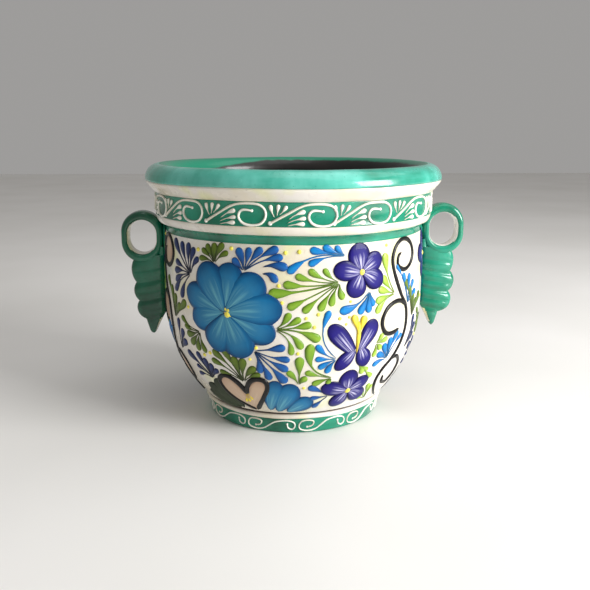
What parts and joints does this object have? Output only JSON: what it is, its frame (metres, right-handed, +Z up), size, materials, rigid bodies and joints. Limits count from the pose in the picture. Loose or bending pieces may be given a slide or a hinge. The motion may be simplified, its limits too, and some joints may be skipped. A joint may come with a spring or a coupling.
{
  "type": "glazed earthenware planter",
  "caption": "Round glazed earthenware planter with a rolled rim, scrolled collar, swelling belly, ring foot and two scalloped loop handles.",
  "frame": {"origin": "on the table, in the middle of the foot ring's standing circle, which is also the middle of the bounding box's bottom face", "axes": "+Z up the pot's axis, +X to the handle on the viewer's right, -Y to the front"},
  "size_m": [0.3614, 0.304, 0.261],
  "materials": {
    "turquoise_glaze": "glossy turquoise-green lead glaze, pooling darker in the hollows",
    "cream_glaze": "clear glossy glaze over cream slip, painted with blue, violet, green, black and yellow raised enamel",
    "bare_clay": "bare fired terracotta, matt",
    "ivory_slip": "raised ivory slip under clear glaze"
  },
  "bodies": {
    "root": {"floor_slab": "bare_clay", "foot_ring": "turquoise_glaze", "foot_bead": "cream_glaze", "belly_wall": "cream_glaze", "shoulder_cove": "turquoise_glaze", "collar_moulding": "cream_glaze", "collar_wall": "turquoise_glaze", "rim_flare": "cream_glaze", "rim_roll": "turquoise_glaze", "right_handle_loop": "turquoise_glaze", "right_handle_tail": "turquoise_glaze", "right_handle_luting": "cream_glaze", "left_handle_loop": "turquoise_glaze", "left_handle_tail": "turquoise_glaze", "left_handle_luting": "cream_glaze", "collar_scrollwork": "ivory_slip", "foot_scrollwork": "ivory_slip"}
  },
  "joints": []
}
